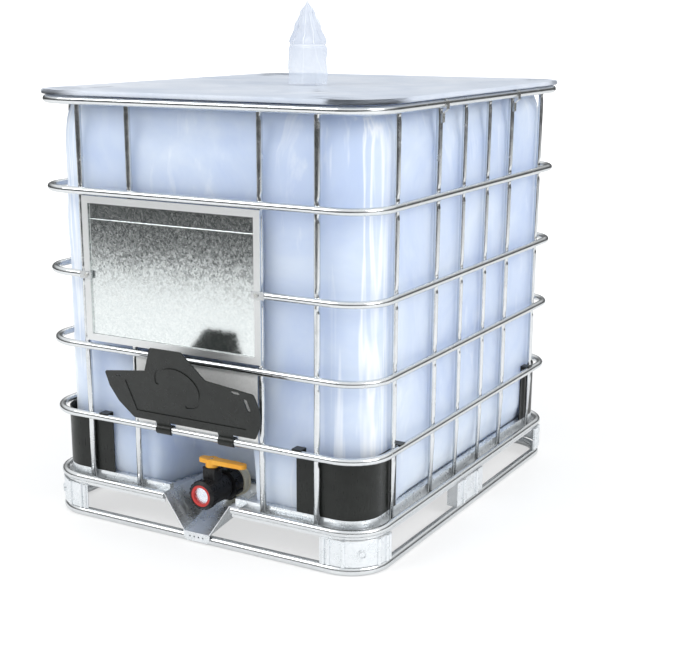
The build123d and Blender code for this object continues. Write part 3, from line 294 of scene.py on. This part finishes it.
FINISHES = {
    "galvanised_tube": tube_zinc(),
    "galvanised_sheet": sheet_zinc(
        "sheet_zinc", 70.0, 0.25, 0.33, (0.76, 0.79, 0.81), (0.87, 0.89, 0.91), 0.0015, 0.02, 0.8).material,
    "steel": sheet_zinc("plated_steel", 500.0, 0.20, 0.34, (0.60, 0.60, 0.58), (0.80, 0.80, 0.78)).material,
    "black_plastic": moulded("black_plastic", (0.011, 0.012, 0.011), (0.018, 0.020, 0.018), 0.32),
    "valve_plastic": moulded("valve_plastic", (0.010, 0.010, 0.011), (0.020, 0.020, 0.021), 0.30),
    "yellow_plastic": moulded("yellow_plastic", (0.86, 0.36, 0.03), (0.93, 0.47, 0.06), 0.34),
    "pale_plastic": moulded("pale_plastic", (0.72, 0.66, 0.48), (0.82, 0.77, 0.62), 0.36),
    "red_rubber": rubber("red_rubber", (0.42, 0.020, 0.018), (0.60, 0.045, 0.040)),
    "black_rubber": rubber("black_rubber", (0.012, 0.012, 0.012), (0.030, 0.030, 0.030)),
    "foil": foil(),
    "liner_film": FILM_WALL,
}
PLATE_FINISHES = {
    "label_plate": label_zinc(),
    "backing_plate": sheet_zinc(
        "backing_zinc", 160.0, 0.40, 0.52, (0.88, 0.88, 0.87), (0.97, 0.97, 0.96), metal=0.35).material,
}


def paint(piece, material):
    piece.data.materials.clear()
    piece.data.materials.append(material)


def paint_frame():
    slots = {part["node"]: part["material_slot"] for part in frame["record"]["subparts"]}
    for name, node in frame["nodes"].items():
        paint(node, PLATE_FINISHES.get(name) or FINISHES[slots[name]])


# ------------------------------------------------------------------ mesh helpers

def mesh_piece(name, points, faces, material, smooth=True):
    """A piece made of points and faces, with one material; each caller attaches it to the frame body."""
    mesh = bpy.data.meshes.new(name)
    mesh.from_pydata([tuple(p) for p in points], [], faces)
    made = bmesh.new()
    made.from_mesh(mesh)
    bmesh.ops.recalc_face_normals(made, faces=made.faces)
    made.to_mesh(mesh)
    made.free()
    piece = bpy.data.objects.new(name, mesh)
    bpy.context.scene.collection.objects.link(piece)
    paint(piece, material)
    for polygon in mesh.polygons:
        polygon.use_smooth = smooth
    return piece


def lofted(rings, cap_start=True, cap_end=True):
    """Quads between rings of equal length. A cap is one fan round the ring's own middle."""
    count = len(rings[0])
    points = [p for ring in rings for p in ring]
    faces = []
    for level in range(len(rings) - 1):
        for k in range(count):
            a, b = level * count + k, level * count + (k + 1) % count
            faces.append((a, b, b + count, a + count))
    for wanted, level in ((cap_start, 0), (cap_end, len(rings) - 1)):
        if wanted:
            middle = sum((Vector(p) for p in rings[level]), Vector()) / count
            points.append(middle)
            for k in range(count):
                faces.append((level * count + k, level * count + (k + 1) % count, len(points) - 1))
    return points, faces


def outline(half_x, half_y, radius, step):
    """Points and outward directions round a rounded rectangle, about step apart."""
    found = []
    arc = max(3, round(math.pi / 2 * radius / step))
    corners = ((1, -1, -90), (1, 1, 0), (-1, 1, 90), (-1, -1, 180))
    for number, (sx, sy, start) in enumerate(corners):
        centre = Vector((sx * (half_x - radius), sy * (half_y - radius), 0))
        for k in range(arc + 1):
            angle = math.radians(start + 90 * k / arc)
            out = Vector((math.cos(angle), math.sin(angle), 0))
            found.append((centre + radius * out, out))
        nx, ny, _ = corners[(number + 1) % 4]
        last, out = found[-1]
        angle = math.radians(start + 90)
        next_first = Vector((nx * (half_x - radius), ny * (half_y - radius), 0)) + radius * out
        straight = max(1, round((next_first - last).length / step))
        for k in range(1, straight):
            found.append((last.lerp(next_first, k / straight), out))
    return found


def ease(value):
    value = min(1.0, max(0.0, value))
    return value * value * (3 - 2 * value)


# ------------------------------------------------------------------ liner

LINER_LOW, LINER_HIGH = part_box("liner_bag")
BRIM_HALF_X = LINER_HIGH.x
BRIM_HALF_Y = LINER_HIGH.y
RIM_LOW, RIM_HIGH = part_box("top_rim")
TUBE_INNER_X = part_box("right_upright_2")[0].x
TUBE_INNER_Y = -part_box("front_upright_1")[1].y
WALL_GAP = 5 * MM
WALL_HALF_X = TUBE_INNER_X - WALL_GAP
WALL_HALF_Y = TUBE_INNER_Y - WALL_GAP
WALL_BOTTOM = LINER_LOW.z
WALL_TOP = RIM_HIGH.z - 4 * MM

# the pocket in the front wall that makes room for the valve
POCKET_HALF = 128 * MM
POCKET_DEPTH = 152 * MM
POCKET_TOP = 330 * MM
POCKET_KNEE = 190 * MM
POCKET_BLEND = 26 * MM


def pocket_depth(x, z):
    across = ease((POCKET_HALF - abs(x)) / POCKET_BLEND + 0.5)
    down = (POCKET_TOP - z) / (POCKET_TOP - POCKET_KNEE)
    return POCKET_DEPTH * across * min(1.0, max(0.0, down))


def corner_share(point):
    """1 at a corner of the liner seen from above, 0 along its sides."""
    dx = WALL_HALF_X - abs(point.x)
    dy = WALL_HALF_Y - abs(point.y)
    return 1 - ease(max(dx, dy) / (2.2 * WALL_RADIUS))


def wall_inset(point, z):
    """How far the wall is pulled in at a height, from the rounding of its top and bottom edges."""
    share = corner_share(point)
    shoulder = [side + (corner - side) * share for side, corner in zip(SHOULDER, CORNER_SHOULDER)]
    inset = 0.0
    for (depth, height), end in ((shoulder, WALL_TOP - z), (FOOT_ROUND, z - WALL_BOTTOM)):
        over = 1 - end / height
        if over > 0:
            inset += depth * (1 - math.sqrt(max(0.0, 1 - over * over)))
    return inset


def wall_rings():
    loop = outline(WALL_HALF_X - WALL_INSET, WALL_HALF_Y - WALL_INSET, WALL_RADIUS, WALL_STEP)
    height = WALL_TOP - WALL_BOTTOM
    levels = round(height / WALL_STEP)
    rings = []
    for level in range(levels + 1):
        z = WALL_BOTTOM + height * level / levels
        ring = []
        for point, out in loop:
            place = point - out * wall_inset(point, z)
            if out.y < -0.99:
                place.y += pocket_depth(place.x, z)
            ring.append(Vector((place.x, place.y, z)))
        rings.append(ring)
    return rings


def closing_rings(ring, count):
    """Rings that run in from a wall's end towards its middle."""
    middle = sum(ring, Vector()) / len(ring)
    return [[p.lerp(Vector((middle.x, middle.y, p.z)), 0.97 * k / count) for p in ring]
            for k in range(1, count + 1)]


def swell(piece):
    """Cloth under pressure rounds the walls and wrinkles the corners; no point moves further than the cap."""
    before = [v.co.copy() for v in piece.data.vertices]
    cloth = piece.modifiers.new("swell", "CLOTH")
    cloth.settings.use_pressure = True
    cloth.settings.uniform_pressure_force = SWELL_PRESSURE
    cloth.settings.effector_weights.gravity = 0.0
    cloth.settings.quality = 4
    cloth.settings.mass = FILM_MASS
    cloth.settings.shrink_min = -FILM_SLACK
    scene = bpy.context.scene
    for number in range(1, SWELL_FRAMES + 1):
        scene.frame_set(number)
    shaped = piece.evaluated_get(bpy.context.evaluated_depsgraph_get())
    after = [v.co.copy() for v in shaped.data.vertices]
    piece.modifiers.clear()
    scene.frame_set(1)
    for vertex, old, new in zip(piece.data.vertices, before, after):
        move = new - old
        if move.length > SWELL_CAP:
            move *= SWELL_CAP / move.length
        vertex.co = old + move


def pleat(place):
    """Upright folds that gather near the liner's corners, pulled in from its face."""
    share = corner_share(place)
    along = place.x - place.y if place.x * place.y < 0 else place.x + place.y
    wave = noise.noise(Vector((along * PLEATS + place.z * PLEAT_LEAN, place.z * PLEAT_STRETCH, 0.0)))
    dip = min(1.0, abs(wave) * PLEAT_SHARPNESS)
    return -PLEAT_DEPTH * (PLEAT_EVERYWHERE + share) * dip


def keep_inside(place):
    """Keeps a wall point clear of the tubes and guards."""
    place.x = max(-WALL_HALF_X, min(WALL_HALF_X, place.x))
    place.y = max(-WALL_HALF_Y, min(WALL_HALF_Y, place.y))
    place.z = max(WALL_BOTTOM, min(WALL_TOP, place.z))


def liner_wall():
    rings = wall_rings()
    count = CLOSING_RINGS
    rings = closing_rings(rings[0], count)[::-1] + rings + closing_rings(rings[-1], count)
    points, faces = lofted(rings)
    piece = mesh_piece("liner_wall", points, faces, FILM_WALL)
    swell(piece)
    for vertex in piece.data.vertices:
        out = Vector((vertex.co.x / WALL_HALF_X, vertex.co.y / WALL_HALF_Y, 0)).normalized()
        vertex.co += out * pleat(vertex.co)
        keep_inside(vertex.co)
    refine = piece.modifiers.new("refine", "SUBSURF")
    refine.levels = refine.render_levels = 1
    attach(piece, "frame")
    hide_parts("liner_bag")
    return piece


def liner_top():
    """The film laid over the rim: a thin closed shell with a rolled hem and a slightly uneven top."""
    low = RIM_HIGH.z + TOP_CLEARANCE
    loop = outline(BRIM_HALF_X, BRIM_HALF_Y, TOP_RADIUS, WALL_STEP)
    sole = outline(BRIM_HALF_X - HEM_RADIUS, BRIM_HALF_Y - HEM_RADIUS, TOP_RADIUS, WALL_STEP)
    rings = []
    for k in range(1, SOLE_RINGS + 1):
        rings.append([(p * (k / SOLE_RINGS)).xy.to_3d() + Vector((0, 0, low)) for p, _ in sole])
    for k in range(1, HEM_RINGS):
        angle = -math.pi / 2 + math.pi * k / HEM_RINGS
        rise = Vector((0, 0, low + HEM_RADIUS * (1 + math.sin(angle))))
        rings.append([point - out * HEM_RADIUS * (1 - math.cos(angle)) + rise for point, out in loop])
    for k in range(TOP_RINGS, 0, -1):
        share = k / TOP_RINGS
        dip = ease((1 - share) * 8)
        ring = []
        for point, out in loop:
            flat = (point - out * HEM_RADIUS) * share
            wave = TOP_WAVE * noise.noise(flat * 5.0) + 0.5 * TOP_WAVE * noise.noise(flat * 17.0)
            ring.append(Vector((flat.x, flat.y, low + 2 * HEM_RADIUS - dip * (TOP_DIP - wave))))
        rings.append(ring)
    points, faces = lofted(rings)
    piece = mesh_piece("liner_top", points, faces, FILM_TOP)
    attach(piece, "frame")
    return piece


# ------------------------------------------------------------------ filling spout

SPOUT_LOW, SPOUT_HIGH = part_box("filling_spout")
# the spout's width at shares of its height, from the bottom up, with a tie line at the waist
SPOUT_WIDTHS = ((0.0, 1.00), (0.20, 1.04), (0.44, 1.0), (0.475, 0.90), (0.52, 0.96), (0.70, 0.70),
                (0.86, 0.40), (1.0, 0.05))
SPOUT_TIE = 0.475
SPOUT_PLEATS = 6
CREASE_SPREAD = 0.16            # between the creases, as a slope away from the spout's point
SPOUT_FOLD = 0.30               # depth of the pleats above the tie, as a share of the radius
SPOUT_CREASE = 0.07             # their depth below the tie
SPOUT_CRUMPLE = 0.05
SPOUT_LEVELS = 60
SPOUT_SIDES = 96


def between(table, share):
    """The value at a share of the height, from a table of (share, value)."""
    for (a, low), (b, high) in zip(table, table[1:]):
        if share <= b:
            return low + (high - low) * ease((share - a) / (b - a))
    return table[-1][1]


def spout_creases():
    """Whitens the spout's film along its pleats and its tie line, and pales it towards its foot."""
    s = film("film_spout", (0.38, 0.45, 0.60), (0.72, 0.77, 0.85), 0.14, crease_share=0.6)
    middle = (SPOUT_LOW + SPOUT_HIGH) / 2
    tie = SPOUT_LOW.z + SPOUT_TIE * (SPOUT_HIGH.z - SPOUT_LOW.z)
    split = s.node("ShaderNodeSeparateXYZ", {0: s.place}).outputs
    across = s.maths("SUBTRACT", split["X"], middle.x)
    left = s.maths("SUBTRACT", SPOUT_HIGH.z, split["Z"])
    lean = s.maths("DIVIDE", across, s.maths("MAXIMUM", left, 0.02))
    bent = s.maths("ADD", lean, s.spread(s.noise(14.0, 2.0), -0.12, 0.12))
    saw = s.maths("PINGPONG", bent, CREASE_SPREAD)
    pleats = s.spread(saw, 0.8, 0.0, 0.0, 0.12 * CREASE_SPREAD)
    above = s.spread(split["Z"], 0.15, 1.0, tie, tie + 4 * MM)
    away = s.maths("ABSOLUTE", s.maths("SUBTRACT", split["Z"], tie), 0.0)
    band = s.spread(away, 0.6, 0.0, 0.5 * MM, 3 * MM)
    white = s.maths("MAXIMUM", s.maths("MULTIPLY", pleats, above), band)
    tone = s.shader.inputs["Base Color"].links[0].from_socket
    pale = s.mix(s.spread(split["Z"], 0.7, 0.0, SPOUT_LOW.z, tie), tone, (0.80, 0.84, 0.90))
    s.set("Base Color", s.mix(white, pale, (0.98, 0.99, 1.0)))
    s.set("Alpha", s.spread(white, 0.52, 0.95))
    return s


def filling_spout():
    """A flattened tube of film, pleated up to a point and folded across its middle."""
    middle = (SPOUT_LOW + SPOUT_HIGH) / 2
    widest = max(width for _, width in SPOUT_WIDTHS)
    half_x = (SPOUT_HIGH.x - SPOUT_LOW.x) / 2 / widest
    half_y = (SPOUT_HIGH.y - SPOUT_LOW.y) / 2 / widest
    height = SPOUT_HIGH.z - SPOUT_LOW.z
    rings = []
    for level in range(SPOUT_LEVELS + 1):
        share = level / SPOUT_LEVELS
        width = between(SPOUT_WIDTHS, share)
        gather = ease((share - SPOUT_TIE) / 0.12)
        ring = []
        for k in range(SPOUT_SIDES):
            angle = math.tau * k / SPOUT_SIDES
            crumple = noise.noise(Vector((math.cos(angle) * 2, math.sin(angle) * 2, share * 5)))
            turn = SPOUT_PLEATS * angle / math.tau + 0.35 * share + 0.3 * crumple
            fold = abs(2 * (turn % 1.0) - 1)
            depth = SPOUT_CREASE + (SPOUT_FOLD - SPOUT_CREASE) * gather
            swing = 1 - depth * fold + SPOUT_CRUMPLE * crumple
            ring.append(Vector((middle.x + half_x * width * swing * math.cos(angle),
                                middle.y + half_y * width * swing * math.sin(angle),
                                SPOUT_LOW.z + height * share)))
        rings.append(ring)
    points, faces = lofted(rings, cap_start=False)
    piece = mesh_piece("spout_film", points, faces, spout_creases().material)
    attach(piece, "frame")
    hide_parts("filling_spout")
    return piece


# ------------------------------------------------------------------ uprights

HOOP_LOW, HOOP_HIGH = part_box("upper_hoop")
HOOP_RADIUS = (HOOP_HIGH.z - HOOP_LOW.z) / 2
RAIL_HALF = (HOOP_HIGH.x - HOOP_RADIUS, HOOP_HIGH.y - HOOP_RADIUS)
RAIL_RADIUS = 10 * MM


def hoop_heights():
    heights = []
    for name in HOOPS:
        low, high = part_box(name)
        heights.append((low.z + high.z) / 2)
    return heights


def upright_levels(low, high, heights):
    """Heights of an upright's rings, close together only beside each hoop."""
    reach = DENT_OFFSET + DENT_LENGTH
    levels = {low, high}
    for z in heights:
        steps = round(2 * reach / DENT_STEP)
        levels |= {z - reach + 2 * reach * k / steps for k in range(steps + 1)}
    return sorted(z for z in levels if low <= z <= high)


def clear_of_hoops(place, out, crossings):
    """Presses a point of an upright in, to the surface of the hoop that crosses it."""
    reach = place.x * out.x + place.y * out.y
    for centre, height, radius in crossings:
        span = radius * radius - (place.z - height) ** 2
        if span > 0:
            face = centre[0 if out.x else 1] - math.sqrt(span)
            if reach > face:
                place = place + Vector((out.x, out.y, 0)) * (face - reach)
                reach = face
    return place


def hoop_crossings():
    """Each hoop's half sizes to its centre line, height and radius."""
    found = []
    for name in (*HOOPS, "deck_frame"):
        low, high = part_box(name)
        radius = (high.z - low.z) / 2 if name != "deck_frame" else RAIL_RADIUS
        found.append(((RAIL_HALF[0], RAIL_HALF[1]), high.z - radius, radius))
    return found


def dented_upright(name, heights, crossings):
    """A tube with a pressed dent above and below each hoop, on the side that faces out."""
    low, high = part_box(name)
    middle = (low + high) / 2
    radius = (high.x - low.x) / 2
    side = Vector((1, 0)) if "left" in name or "right" in name else Vector((0, 1))
    out = side * (1 if (side.x * middle.x + side.y * middle.y) > 0 else -1)
    facing = math.atan2(out.y, out.x)
    rings = []
    for z in upright_levels(low.z, high.z, heights):
        depth = 0.0
        for hoop in heights:
            for end in (-1, 1):
                depth += math.exp(-((z - hoop - end * DENT_OFFSET) / (0.5 * DENT_LENGTH)) ** 2)
        ring = []
        for k in range(TUBE_SIDES):
            angle = math.tau * k / TUBE_SIDES
            turned = math.atan2(math.sin(angle - facing), math.cos(angle - facing))
            pressed = DENT_DEPTH * min(1.0, depth)
            bulge = DENT_BULGE * math.exp(-((abs(turned) - DENT_BULGE_ANGLE) / DENT_BULGE_SPREAD) ** 2)
            r = radius - pressed * (math.exp(-(turned / DENT_SPREAD) ** 2) - bulge)
            place = Vector((middle.x + r * math.cos(angle), middle.y + r * math.sin(angle), z))
            ring.append(clear_of_hoops(place, out, crossings))
        rings.append(ring)
    points, faces = lofted(rings)
    piece = mesh_piece("tube_" + name, points, faces, FINISHES["galvanised_tube"])
    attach(piece, "frame")
    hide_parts(name)


def dented_uprights():
    heights = hoop_heights()
    for name in sorted(frame["nodes"]):
        if "_upright_" in name:
            dented_upright(name, heights, hoop_crossings())


# ------------------------------------------------------------------ stage

STAGE_HALF = 9.0
MIRRORED_FLOOR_END = -3.6       # where the floor that the metal mirrors stops, in front
FLOOR_DROP = 0.5 * MM           # of that floor below the one that is seen
BOWL_RADIUS = 8.5
BOWL_HEIGHT = 7.0
GLOW_REACH = (1.2, 4.0)         # distances from the middle between which the floor's glow grows

CAMERA_PLACE = (1.8307, -3.1325, 1.2983)
CAMERA_LENS = 69.1
CAMERA_SHIFT = (0.0378, 0.0730)
CAMERA_DOWN = 0.2696            # radians
CAMERA_ROUND = 0.5298

# grey levels of the sky by the sine of the height above the horizon
SOFT_SKY = ((-1.0, 0.80), (0.0, 0.88), (1.0, 1.0))
MIRRORED_SKY = ((-1.0, 0.06), (-0.02, 0.08), (0.22, 0.13), (0.36, 0.55), (0.50, 1.0), (1.0, 1.1))


def stage_material(name, tone, near_glow, far_glow):
    """Pale paint that glows a little, more so far from the container."""
    s = Surface(name, Roughness=0.6)
    s.shader.inputs["Emission Color"].default_value = (1.0, 1.0, 1.0, 1.0)
    s.set("Base Color", s.mix(s.noise(2.0, 3.0), (tone, tone, tone), (tone + 0.03, tone + 0.03, tone + 0.03)))
    level = s.stretched((1.0, 1.0, 0.0))
    reach = s.node("ShaderNodeVectorMath", {0: level}, operation="LENGTH").outputs["Value"]
    s.set("Emission Strength", s.spread(reach, near_glow, far_glow, *GLOW_REACH))
    return s.material


def stage_sheet(name, x0, x1, y0, y1, z, material):
    points = [(x0, y0, z), (x1, y0, z), (x1, y1, z), (x0, y1, z)]
    mesh = bpy.data.meshes.new(name)
    mesh.from_pydata(points, [], [(0, 1, 2, 3)])
    made = bpy.data.objects.new(name, mesh)
    bpy.context.scene.collection.objects.link(made)
    mesh.materials.append(material)
    return made


def stage_bowl(radius, height, material):
    """A pale backdrop all round; build_stage makes it seen by the camera only, so that the metal still
    mirrors a darker room.
    """
    rings = []
    for rise in (0.0, 0.02, 0.08, 0.18, 0.32, 0.5, 0.72, 1.0):
        reach = radius + 1.5 * math.sin(min(1.0, rise * 2) * math.pi / 2)
        rings.append([Vector((reach * math.cos(math.tau * k / 72), reach * math.sin(math.tau * k / 72),
                              height * rise)) for k in range(72)])
    points, faces = lofted(rings, cap_start=False, cap_end=False)
    mesh = bpy.data.meshes.new("backdrop")
    mesh.from_pydata([tuple(p) for p in points], [], faces)
    made = bpy.data.objects.new("backdrop", mesh)
    bpy.context.scene.collection.objects.link(made)
    mesh.materials.append(material)
    return made


def build_stage():
    """The metal and the soft light see one floor, which ends in front; the camera sees a paler one."""
    size = STAGE_HALF
    plain = stage_material("floor_paint", 0.80, 0.12, 0.12)
    near = stage_sheet("floor", -size, size, MIRRORED_FLOOR_END, size, -FLOOR_DROP, plain)
    near.visible_camera = False
    seen = stage_material("seen_paint", 0.40, 0.56, 1.0)
    floor = stage_sheet("floor_seen", -size, size, -size, size, 0.0, seen)
    for piece in (floor, stage_bowl(BOWL_RADIUS, BOWL_HEIGHT, seen)):
        piece.visible_glossy = False
        piece.visible_diffuse = False
        piece.visible_shadow = False


def sky_ramp(tree, height, stops):
    """Grey levels by height above the horizon, from -1 straight down to 1 straight up."""
    scaled = tree.nodes.new("ShaderNodeMapRange")
    scaled.inputs["From Min"].default_value = -1.0
    tree.links.new(height, scaled.inputs["Value"])
    ramp = tree.nodes.new("ShaderNodeValToRGB")
    tree.links.new(scaled.outputs["Result"], ramp.inputs[0])
    ramp.color_ramp.elements.remove(ramp.color_ramp.elements[1])
    for number, (at, level) in enumerate(stops):
        stop = ramp.color_ramp.elements[0] if number == 0 else ramp.color_ramp.elements.new((at + 1) / 2)
        stop.position = (at + 1) / 2
        stop.color = (level * 0.97, level * 0.99, level, 1.0)
    background = tree.nodes.new("ShaderNodeBackground")
    tree.links.new(ramp.outputs[0], background.inputs["Color"])
    return background.outputs[0]


def sky():
    """An even sky for soft light. Mirrors see it above a dark room that reaches well over the horizon."""
    world = bpy.data.worlds.new("studio")
    bpy.context.scene.world = world
    world.use_nodes = True
    world.cycles.sampling_method = "NONE"
    tree = world.node_tree
    place = tree.nodes.new("ShaderNodeTexCoord").outputs["Generated"]
    parts = tree.nodes.new("ShaderNodeSeparateXYZ")
    tree.links.new(place, parts.inputs[0])
    soft = sky_ramp(tree, parts.outputs["Z"], SOFT_SKY)
    mirrored = sky_ramp(tree, parts.outputs["Z"], MIRRORED_SKY)
    either = tree.nodes.new("ShaderNodeMixShader")
    tree.links.new(tree.nodes.new("ShaderNodeLightPath").outputs["Is Glossy Ray"], either.inputs[0])
    tree.links.new(soft, either.inputs[1])
    tree.links.new(mirrored, either.inputs[2])
    tree.links.new(either.outputs[0], tree.nodes["World Output"].inputs["Surface"])


def softbox(name, place, size, power):
    light = bpy.data.lights.new(name, "AREA")
    light.shape = "RECTANGLE"
    light.size, light.size_y = size
    light.energy = power
    made = bpy.data.objects.new(name, light)
    made.location = place
    made.rotation_euler = (Vector((0, 0, 0.6)) - Vector(place)).to_track_quat("-Z", "Y").to_euler()
    bpy.context.scene.collection.objects.link(made)


def camera():
    """In front and to the right, a little above the rim, looking down on the valve side."""
    data = bpy.data.cameras.new("view")
    data.sensor_width = 36.0
    data.lens = CAMERA_LENS
    data.shift_x, data.shift_y = CAMERA_SHIFT
    data.clip_end = 60.0
    made = bpy.data.objects.new("view", data)
    made.location = CAMERA_PLACE
    made.rotation_euler = (math.pi / 2 - CAMERA_DOWN, 0.0, CAMERA_ROUND)
    bpy.context.scene.collection.objects.link(made)
    bpy.context.scene.camera = made


def studio():
    build_stage()
    sky()
    softbox("key", (-2.6, -4.2, 4.2), (3.0, 2.4), 105.0)
    softbox("side", (4.6, -0.8, 3.4), (2.6, 2.6), 100.0)
    camera()
    bpy.context.scene.view_settings.view_transform = "Standard"


# ------------------------------------------------------------------ main

studio()
paint_frame()
liner_wall()
liner_top()
filling_spout()
dented_uprights()
